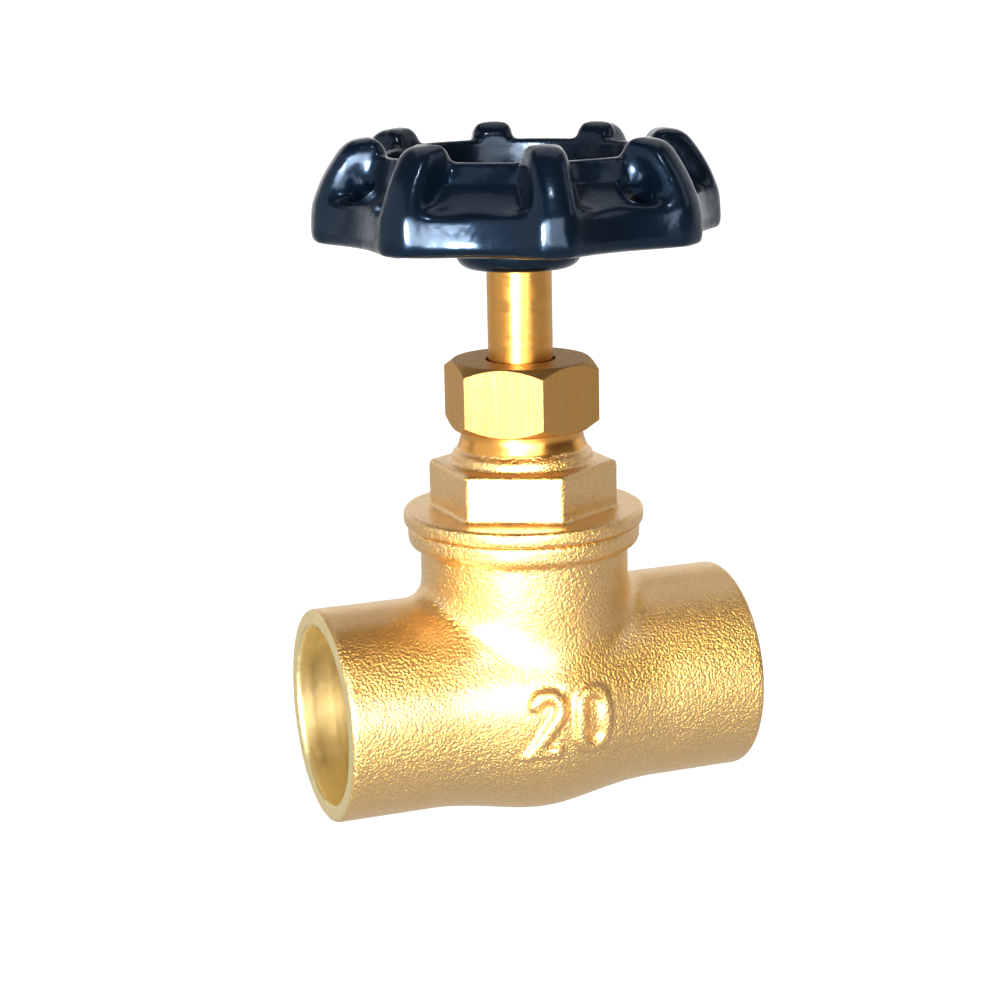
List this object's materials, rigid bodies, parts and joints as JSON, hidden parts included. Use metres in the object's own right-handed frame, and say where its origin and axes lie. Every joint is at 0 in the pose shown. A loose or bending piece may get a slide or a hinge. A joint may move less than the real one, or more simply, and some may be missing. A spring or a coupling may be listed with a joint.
{
  "type": "gate valve",
  "caption": "Small gate valve with solder sockets, round screwed bonnet, packing nut and lobed enamelled handwheel that lifts a wedge without raising the stem.",
  "frame": {"origin": "where the run's axis crosses the stem's axis", "axes": "+X along the run towards the outlet socket, +Z along the stem towards the handwheel, -Y the face with the size number"},
  "size_m": [0.0544, 0.0504, 0.0853],
  "materials": {
    "cast_brass": "sand-cast skin, bead-blasted, golden",
    "turned_brass": "turned, fine lathe marks",
    "milled_brass": "milled hexagon with fine cross brushing",
    "wheel_enamel": "glossy dark navy enamel on a casting",
    "gasket_fibre": "compressed fibre sheet",
    "packing": "PTFE packing, matt white",
    "plate_aluminium": "satin, blank",
    "plated_steel": "zinc plated"
  },
  "bodies": {
    "valve_body": {"body": "cast_brass", "bonnet": "cast_brass", "bonnet_gasket": "gasket_fibre", "thrust_washer_lower": "turned_brass", "thrust_washer_upper": "turned_brass", "packing_base_washer": "turned_brass", "packing_ring_lower": "packing", "packing_ring_middle": "packing", "packing_ring_upper": "packing", "packing_gland": "turned_brass", "packing_nut": "milled_brass"},
    "stem_and_wheel": {"stem": "turned_brass", "handwheel": "wheel_enamel", "identification_plate": "plate_aluminium", "wheel_lock_washer": "plated_steel", "handwheel_nut": "plated_steel"},
    "gate": {"wedge": "turned_brass"}
  },
  "joints": [
    {"name": "wheel_turn", "type": "hinge", "parent": "valve_body", "child": "stem_and_wheel", "pos_m": [0, 0, 0.0546], "axis": [0, 0, 1], "range_deg": [0, 2880]},
    {"name": "gate_lift", "type": "slide", "parent": "valve_body", "child": "gate", "axis": [0, 0, 1], "range_m": [0, 0.0161]}
  ],
  "couplings": [
    {"joint": "gate_lift", "follows": "wheel_turn", "m_per_rad": 0.00031831}
  ]
}
